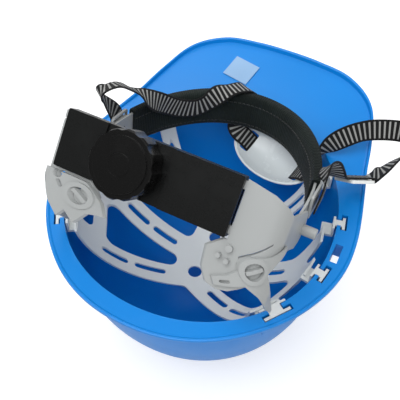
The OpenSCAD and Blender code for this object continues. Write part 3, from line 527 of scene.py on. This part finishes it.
def make_cup():
    # from the outer middle over the rolled rim, which is straight-sided, to the inner middle:
    # share of the half length and width, and height
    profile = [(0.02, -cup_deep - 0.3), (0.35, -cup_deep), (0.7, -cup_deep * 0.7), (0.93, -cup_deep * 0.15),
               (1.0, 0.4), (1.06, 0.8), (1.06, 2.2), (0.99, 2.2), (0.93, cup_t - cup_deep * 0.15),
               (0.7, cup_t - cup_deep * 0.7), (0.35, cup_t - cup_deep), (0.02, cup_t - cup_deep - 0.3)]
    fine = smoothed(profile, CUP_STEPS, straight=(4, 5, 6)) + [profile[-1]]
    n, rings = CUP_TURNS, len(fine)
    points = []
    for f, z in fine:
        for i in range(n):
            a = i * 360 / n
            points.append((cup_l / 2 * cosd(a) * f, cup_w / 2 * sind(a) * f, z))
    faces = tube_faces(rings, n) + [ring_face(0, n, True), ring_face(rings - 1, n)]
    ob = mesh_object("cup_blank", points, faces, cup_milky, 50)
    fix_outward(ob)
    slots = [rounded_slot(s * (cup_l / 2 - CUP_SLOT_IN), slot_w, strap_w + CUP_SLOT_MORE, 20)
             for s in (-1, 1)]
    ob = combined(ob, "DIFFERENCE", slots, "chin_cup_moulding")
    at = Vector((cup_at[0], cup_at[1], cup_at[2] + rim_z))
    ob.data.transform(Matrix.Translation(at * MM) @ turn_matrix(cup_turn)
                      @ Matrix.Translation((0, 0, -cup_sink * MM)))
    soften(ob, 40)
    return ob


cup = make_cup()
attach(cup, "helmet")
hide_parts("chin_cup")


# ---------------------------------------------------------------- shell
SHELL_TURNS = 288     # points round the shell
SHELL_RINGS = 30      # rings down each side of the bowl
CROWN_END = 89.2      # the bowl ends on a small ring, because its profile is flat at the crown
LIP_FOOT = 0.6        # from the lip's foot to the flat of the rim
BLOCK_BEVEL = 1.0
BLOCK_TOP = -1        # the blocks under the rim end inside it
CUT_TOP = 12          # the cuts end above the rim
SLOT_DEEP = 40        # the accessory slot goes through its block
NOTCH_IN = 4          # the notch of a key starts inside the bowl


def bowl_r(t, g):
    """Radius of the bowl at the rim plane, by angle, grown by g."""
    b = (bowl_front if sind(t) > 0 else bowl_back) + g
    return (power(cosd(t) / (bowl_a + g), bowl_n) + power(sind(t) / b, bowl_n)) ** (-1 / bowl_n)


def rim_r(t):
    """Radius of the rim's outline, by angle."""
    q = (math.degrees(math.asin(max(-1, min(1, sind(t))))) + 90) / 10
    n = len(rim_radii) - 1
    i = min(n - 1, int(q))
    p = [rim_radii[k] for k in (1 if i == 0 else i - 1, i, i + 1, n - 1 if i + 1 == n else i + 2)]
    return spline(*p, q - i)


def rise(y):
    """How far the peak has come up from the rim plane."""
    return peak_rise * (max(0, y - rise_from) / (peak_reach - rise_from)) ** 2


def lip_at(y):
    """Height of the lip, which grows over 50 mm from the rim's to the peak's."""
    return lip_h + (peak_lip_h - lip_h) * min(1, max(0, y - rise_from) / 50)


def crown_z(x, y, g):
    """Height of the bowl's wall under the rim plane, grown by g."""
    b = (bowl_front if y > 0 else bowl_back) + g
    q = (power(x / (bowl_a + g), bowl_n) + power(y / b, bowl_n)) ** (1 / bowl_n)
    return -(bowl_depth + g) * max(0, 1 - q ** profile_n) ** (1 / profile_n)


def rim_point(t):
    r = bowl_r(t, -wall / 2)
    return r * cosd(t), r * sind(t)


def rim_matrix(t):
    """Place on the middle of the wall at the rim plane, with X pointing out."""
    a, b, p = rim_point(t - 1), rim_point(t + 1), rim_point(t)
    turn = math.atan2(b[1] - a[1], b[0] - a[0]) - math.pi / 2
    return Matrix.Translation((p[0] * MM, p[1] * MM, rim_z * MM)) @ Matrix.Rotation(turn, 4, "Z")


def shell_rows(turns, rings):
    """Rings of points from the outer crown over the rim to the inner crown."""
    def ring(radius, height):
        row = []
        for i in range(turns):
            t = i * 360 / turns
            r = radius(t)
            row.append((r * cosd(t), r * sind(t), height(r * sind(t))))
        return row

    def bowl(phi, g):
        s, d = max(0.0, cosd(phi)) ** (2 / profile_n), max(0.0, sind(phi)) ** (2 / profile_n)
        return ring(lambda t: bowl_r(t, g) * s, lambda y: rim_z - (bowl_depth + g) * d)

    def edge(inset, dz):
        return ring(lambda t: rim_r(t) - inset, lambda y: rim_z + rise(y) + dz)

    def lip(inset, drop):
        return ring(lambda t: rim_r(t) - inset, lambda y: rim_z + rise(y) + lip_at(y) - drop)

    def land(f, g, dz):
        def radius(t):
            a, b = bowl_r(t, g), rim_r(t) - lip_t - LIP_FOOT
            return a + (b - a) * f
        return ring(radius, lambda y: rim_z + rise(y) + dz)

    phis = [90 - k * 90 / rings for k in range(1, rings)]
    under = -flange_t
    outer = [bowl(CROWN_END, 0)] + [bowl(p, 0) for p in phis]
    below = [land(0.02, 0, under - 0.4)] + [land(f, 0, under) for f in (0.06, 0.25, 0.5, 0.75)]
    brim = [edge(0.9, under), edge(0.3, 0.25 - flange_t), edge(0, 0.9 - flange_t), lip(0, 0.75),
            lip(0.2, 0.2), lip(0.7, 0), lip(lip_t - 0.6, 0), lip(lip_t - 0.1, 0.25)]
    above = [land(1, -wall, 0.12), land(0.985, -wall, 0)] + [land(f / 12, -wall, 0) for f in range(11, 0, -1)]
    inner = [land(0.02, -wall, -0.05), bowl(phis[-1] * 0.12, -wall)]
    inner += [bowl(p, -wall) for p in reversed(phis)] + [bowl(CROWN_END, -wall)]
    return outer + below + brim + above + inner


def shell_blank():
    """The shell before its pockets, closed at both crowns by a fan of triangles."""
    rows = shell_rows(SHELL_TURNS, SHELL_RINGS)
    n = len(rows[0])
    points = [p for r in rows for p in r]
    first, last, base = len(points), len(points) + 1, (len(rows) - 1) * n
    points += [(0, 0, rows[0][0][2]), (0, 0, rows[-1][0][2])]
    faces = tube_faces(len(rows), n)
    faces += [(first, (i + 1) % n, i) for i in range(n)]
    faces += [(last, base + i, base + (i + 1) % n) for i in range(n)]
    ob = mesh_object("shell_loft", points, faces, shell_blue, 30)
    fix_outward(ob)
    return ob


def block_mesh(x0, x1, half, z0, z1, bevel):
    points = [(x, y, z) for x in (x0, x1) for y in (-half, half) for z in (z0, z1)]
    faces = [(0, 1, 3, 2), (4, 6, 7, 5), (0, 4, 5, 1), (2, 3, 7, 6), (0, 2, 6, 4), (1, 5, 7, 3)]
    ob = mesh_object("block", points, faces, None)
    if bevel:
        m = ob.modifiers.new("round", "BEVEL")
        m.width, m.segments = bevel * MM, 3
        ob = baked(ob, "block")
    return ob


def rim_blocks(t, x0, x1, half, z0, z1, bevel=0.0):
    """A block set against the wall at angle t, and its mirror image."""
    out = []
    for side in (1, -1):
        ob = block_mesh(x0, x1, half, z0, z1, bevel)
        ob.data.transform(rim_matrix(t))
        if side < 0:
            ob.data.transform(Matrix.Scale(-1, 4, (1, 0, 0)))
        fix_faces(ob)
        out.append(ob)
    return out


def crown_ridge(x, w):
    """A low round-edged ridge along the crown, sunk into the wall."""
    end, over, n, round_r, steps = 42.0, 2.7, 2.8, 1.4, 48
    front = end + bowl_front - bowl_back
    rows = []
    for i in range(steps + 1):
        y = -end + i * (front + end) / steps
        b = (bowl_front if y > 0 else bowl_back) - 6.5
        q = min(1, abs(y) / b)
        ridge_z = max(-rim_z, -(rim_z + over) * max(0, 1 - q ** n) ** (1 / n))
        inner = crown_z(x, y, -wall * 0.55)
        low = min(ridge_z, inner)
        sides = []
        for s in (-1, 1):
            foot = x + s * w / 2
            sides.append([(foot, y, rim_z + inner + 0.4), (foot, y, rim_z + min(inner, low + round_r)),
                          (foot - s * round_r * 0.3, y, rim_z + min(inner, low + round_r * 0.3)),
                          (foot - s * round_r, y, rim_z + low)])
        rows.append(sides[0] + sides[1][::-1])
    ob = mesh_object("ridge", [p for r in rows for p in r], capped_faces(len(rows), len(rows[0])), None)
    fix_faces(ob)
    return ob


def make_shell():
    ob = shell_blank()
    out = wall / 2
    floor_z = -pocket_deep - boss_wall
    adds, cuts = [], []
    for t, half, _ in sockets:
        adds += rim_blocks(t, 0, out + pocket_out + boss_wall, half + boss_wall, floor_z, BLOCK_TOP,
                           BLOCK_BEVEL)
    adds += rim_blocks(slot_at, 0, out + slot_out + boss_wall, slot_half + boss_wall, floor_z, BLOCK_TOP,
                       BLOCK_BEVEL)
    adds += [crown_ridge(x, w) for x, w in ((-26, 8), (0, 10), (26, 8))]
    for t, half, tab in sockets:
        cuts += rim_blocks(t, out, out + pocket_out, half, -pocket_deep, CUT_TOP)
        cuts += rim_blocks(t, -NOTCH_IN, out + 1, tab * neck + notch_gap, -notch_deep, CUT_TOP)
    cuts += rim_blocks(slot_at, out, out + slot_out, slot_half, -SLOT_DEEP, CUT_TOP)
    ob = combined(ob, "UNION", adds, "shell_work")
    ob = combined(ob, "DIFFERENCE", cuts, "shell_moulding")
    ob.data.materials.clear()
    ob.data.materials.append(shell_blue)
    soften(ob, 28)
    return ob


shell = make_shell()
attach(shell, "helmet")
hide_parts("shell")


# ---------------------------------------------------------------- sweatband
RIB = 1.7             # spacing of the ribs, mm
RIB_DEEP = 0.22       # depth of the grooves between them, mm
SWEAT_STEPS = 900     # sections along the sweatband


def band_matrix():
    return Matrix.Translation((band_x * MM, 0, (rim_z + band_z) * MM)) \
        @ Matrix.Rotation(math.radians(-band_lean), 4, "X")


def sweat_section(k):
    """Outline of the sweatband at share k of its length: offset from the band, and height."""
    h, i = band_h + 2.5, band_t + sweat_gap
    d = sweat_t * min(1, 0.35 + 3 * min(k, 1 - k))
    g = sweat_gap
    return [(-i, 1.2 - h * 0.86), (-i, 0.4), (g, 0.4), (g, -9), (g + 1.6, -9), (g + 1.8, 1), (0.6, 2.4),
            (-i - d * 0.55, 2.2), (-i - d * 0.95, -1.5), (-i - d, -h * 0.35), (-i - d * 0.9, -h * 0.72),
            (-i - d * 0.45, 1.2 - h * 0.9)]


def fine_section(k):
    """The section with its padded side rounded; each point carries how much rib it takes."""
    s = sweat_section(k)
    out = [(q, 0.0) for q in s[:4]]
    splits = 4
    for m, q in enumerate(smoothed(s[4:] + [s[0]], splits)):
        out.append((q, 1.0 if 1 <= m // splits < 7 else 0.0))
    return out


def make_sweatband():
    points, uvs, run, last = [], [], 0.0, None
    for j in range(SWEAT_STEPS + 1):
        k = j / SWEAT_STEPS
        t = sweat_from + k * (180 - 2 * sweat_from)
        c, s = cosd(t), sind(t)
        mid = Vector(((band_a - 4) * c, (band_nose - 4) * s))
        run += (mid - last).length if last is not None else 0.0
        last = mid
        rib = 0.5 + 0.5 * math.cos(2 * math.pi * run / RIB)
        section = fine_section(k)
        cx, cz = (sum(q[v] for q, _ in section) / len(section) for v in (0, 1))
        for m, (q, weight) in enumerate(section):
            # ribs sink the cover towards the middle of the pad, so it never stands proud of its solid
            pull = Vector((cx - q[0], (cz - q[1]) * 0.4)).normalized() * (RIB_DEEP * weight * (1 - rib))
            g, z = q[0] + pull[0], q[1] + pull[1]
            points.append(((band_a + g) * c, (band_nose + g) * s, z))
            uvs.append((run / RIB, m))
    faces = capped_faces(SWEAT_STEPS + 1, len(section), True)
    ob = mesh_object("sweatband_cover", points, faces, pad_knit, 70)
    add_weave(ob, uvs)
    ob.data.transform(band_matrix())
    fix_outward(ob)
    return ob


sweatband = make_sweatband()
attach(sweatband, "helmet")
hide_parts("sweatband")


# ---------------------------------------------------------------- stitches, by geometry nodes
STITCH = {"Spacing": 0.0032, "Length": 0.0022, "Thickness": 0.0003}   # metres
STITCH_BOW = 260.0    # how fast the ends of a stitch dive into the cloth, per metre
SEAM_STEPS = 240


def stitch_tree():
    g, given, out = group("stitch_row", "GeometryNodeTree",
                          [("Geometry", "NodeSocketGeometry"), ("Spacing", "NodeSocketFloat"),
                           ("Length", "NodeSocketFloat"), ("Thickness", "NodeSocketFloat"),
                           ("Seed", "NodeSocketInt", 3), ("Material", "NodeSocketMaterial")],
                          [("Geometry", "NodeSocketGeometry")])
    curve = node(g, "GeometryNodeMeshToCurve", {"Mesh": given["Geometry"]})
    even = node(g, "GeometryNodeResampleCurve", {"Curve": curve.outputs["Curve"], "Length": given["Spacing"]},
                mode="LENGTH")
    stitch = node(g, "GeometryNodeMeshCylinder", {"Radius": given["Thickness"], "Depth": given["Length"],
                                                  "Vertices": 8, "Side Segments": 3})
    xyz = node(g, "ShaderNodeSeparateXYZ", {0: node(g, "GeometryNodeInputPosition").outputs["Position"]})
    from_middle = calc(g, "MULTIPLY", xyz.outputs["Z"], xyz.outputs["Z"])
    drop = node(g, "ShaderNodeCombineXYZ", {"X": calc(g, "MULTIPLY", from_middle, -STITCH_BOW)})
    bowed = node(g, "GeometryNodeSetPosition", {"Geometry": stitch.outputs["Mesh"],
                                                "Offset": drop.outputs["Vector"]})
    tangent = node(g, "GeometryNodeInputTangent")
    turn = node(g, "FunctionNodeAlignRotationToVector", {"Vector": tangent.outputs["Tangent"]}, axis="Z")
    size = node(g, "FunctionNodeRandomValue", {"Seed": given["Seed"], 2: 0.9, 3: 1.1}, data_type="FLOAT")
    row = node(g, "GeometryNodeInstanceOnPoints",
               {"Points": even.outputs["Curve"], "Instance": bowed.outputs["Geometry"],
                "Rotation": turn.outputs["Rotation"], "Scale": size.outputs[1]})
    real = node(g, "GeometryNodeRealizeInstances", {"Geometry": row.outputs["Instances"]})
    sewn = node(g, "GeometryNodeSetMaterial", {"Geometry": real.outputs["Geometry"],
                                               "Material": given["Material"]})
    feed(g, out, {"Geometry": sewn.outputs["Geometry"]})
    return g


STITCHES = stitch_tree()


def stitch_row(name, points, body):
    me = bpy.data.meshes.new(name)
    me.from_pydata([[c * MM for c in p] for p in points], [(i, i + 1) for i in range(len(points) - 1)], [])
    ob = linked(name, me)
    m = ob.modifiers.new("stitches", "NODES")
    m.node_group = STITCHES
    ids = {s.name: s.identifier for s in STITCHES.interface.items_tree if s.in_out == "INPUT"}
    for label, value in (*STITCH.items(), ("Material", stitch_thread)):
        m[ids[label]] = value
    ob = baked(ob, name)
    soften(ob, 60)
    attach(ob, body)


def sweat_seam(up, inset):
    """A line along the padded side, from its lowest corner upwards by a share of the stretch there."""
    out = []
    for j in range(SEAM_STEPS + 1):
        k = j / SEAM_STEPS
        t = sweat_from + 1 + k * (180 - 2 * sweat_from - 2)
        b, a = sweat_section(k)[9:11]
        g, z = a[0] + (b[0] - a[0]) * up - inset, a[1] + (b[1] - a[1]) * up
        p = Vector(((band_a + g) * cosd(t), (band_nose + g) * sind(t), z)) * MM
        out.append((band_matrix() @ p) / MM)
    return out


stitch_row("sweatband_stitches_low", sweat_seam(0.0, 0.12), "helmet")
stitch_row("sweatband_stitches_top", sweat_seam(1.6, 0.0), "helmet")


# ---------------------------------------------------------------- moulded pieces taken from their CAD nodes
WELD = 0.00002        # points of a CAD mesh closer than this are one, metres
FLAT = 0.6            # faces of a CAD mesh that meet at less than this are one, degrees


def finished(name, cad, body, material, bevel=0.25, angle=32, segments=2):
    """A cleaned copy of a CAD node with its edges broken, which stands for the node."""
    def clean(bm):
        bm.transform(nodes[cad].matrix_world)
        bmesh.ops.remove_doubles(bm, verts=bm.verts, dist=WELD)
        bmesh.ops.dissolve_limit(bm, angle_limit=math.radians(FLAT), verts=bm.verts, edges=bm.edges)
    ob = linked(name, nodes[cad].data.copy())
    edit_mesh(ob, clean)
    ob.data.materials.clear()
    ob.data.materials.append(material)
    soften(ob, angle)
    m = ob.modifiers.new("edges", "BEVEL")
    m.width, m.segments, m.limit_method = bevel * MM, segments, "ANGLE"
    m.angle_limit = math.radians(angle)
    m.use_clamp_overlap = True
    m.miter_outer = "MITER_ARC"
    ob = baked(ob, name)
    soften(ob, 44)
    # flat faces keep their own direction, so the broken edges alone are shaded round
    m = ob.modifiers.new("flats", "WEIGHTED_NORMAL")
    m.keep_sharp = True
    m.weight = 80
    ob = baked(ob, name)
    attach(ob, body)
    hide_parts(cad)
    return ob


finished("cradle_moulding", "cradle", "helmet", harness_grey, 0.3)
finished("headband_strip", "headband_front", "helmet", band_grey, 0.3)
for side in ("left", "right"):
    finished("wing_plate_" + side, "nape_wing_" + side, "wing_" + side, band_grey, 0.25)
    finished("hanger_plate_" + side, "hanger_" + side, "wing_" + side, band_grey, 0.25)
    finished("temple_peg_" + side, "temple_pin_" + side, "helmet", band_grey, 0.3)
    finished("strap_clip_" + side, "strap_hook_" + side, "helmet", band_grey, 0.35)
finished("housing_cover", "ratchet_cover", "helmet", housing_black, 0.4)
finished("housing_back", "ratchet_back", "helmet", housing_black, 0.3)
finished("knob_body", "ratchet_knob", "knob", knob_black, 0.45, 34, 3)
finished("knob_badge", "knob_cap", "knob", knob_black, 0.2)
slider = finished("slider_plate", "strap_slider", "helmet", slider_white, 0.4)
finished("blank_label", "label_blank", "helmet", label_pale, 0.08)
for name, material in (("case_screws", screw_steel), ("knob_screw", screw_steel), ("pinion", gear_white),
                       ("pawl_wheel", gear_white), ("detent_ring", housing_black)):
    ob = nodes[name]
    ob.data.materials.clear()
    ob.data.materials.append(material)


# ---------------------------------------------------------------- floor, lights and world
FLOOR_HALF = 4        # metres
FLOOR_GLOW = 0.46     # for the camera only, so the floor is white where the light falls short
# strength of the world, what the camera sees more of it and what gloss sees less:
# white behind the object, and a dimmer room in its gloss
WORLD_LIGHT, WORLD_SEEN, WORLD_GLOSS = 0.7, 0.3, -0.4


def make_floor():
    h = FLOOR_HALF
    me = bpy.data.meshes.new("floor")
    me.from_pydata([(-h, -h, 0), (h, -h, 0), (h, h, 0), (-h, h, 0)], [], [(0, 1, 2, 3)])
    ob = linked("floor", me)
    m, t, bsdf = new_material("floor_pale")
    feed(t, bsdf, {"Base Color": (0.7, 0.7, 0.7, 1), "Roughness": 0.9})
    seen = node(t, "ShaderNodeLightPath").outputs["Is Camera Ray"]
    strength = calc(t, "MULTIPLY", seen, FLOOR_GLOW)
    glow = node(t, "ShaderNodeEmission", {"Color": (1, 1, 1, 1), "Strength": strength})
    both = node(t, "ShaderNodeAddShader", {0: bsdf.outputs[0], 1: glow.outputs[0]})
    feed(t, t.nodes["Material Output"], {"Surface": both.outputs[0]})
    me.materials.append(m)


def make_light(name, place, size, energy):
    data = bpy.data.lights.new(name, "AREA")
    data.size, data.energy = size, energy
    ob = linked(name, data)
    ob.location = place
    ob.rotation_euler = (Vector((0, 0.02, 0.1)) - Vector(place)).to_track_quat("-Z", "Y").to_euler()


def make_world():
    w = bpy.data.worlds.new("studio")
    bpy.context.scene.world = w
    w.use_nodes = True
    t = w.node_tree
    ray = node(t, "ShaderNodeLightPath").outputs
    seen = calc(t, "MULTIPLY_ADD", ray["Is Camera Ray"], WORLD_SEEN, WORLD_LIGHT)
    level = calc(t, "MULTIPLY_ADD", ray["Is Glossy Ray"], WORLD_GLOSS, seen)
    feed(t, t.nodes["Background"], {"Color": (1, 1, 1, 1), "Strength": level})


make_floor()
make_light("key", (-0.1, -0.4, 1.3), 0.9, 9)
make_light("fill", (0.8, -0.8, 0.9), 0.9, 2)
make_light("back", (-0.45, 0.75, 1.0), 0.55, 2.6)
make_world()
bpy.context.scene.view_settings.view_transform = "Standard"
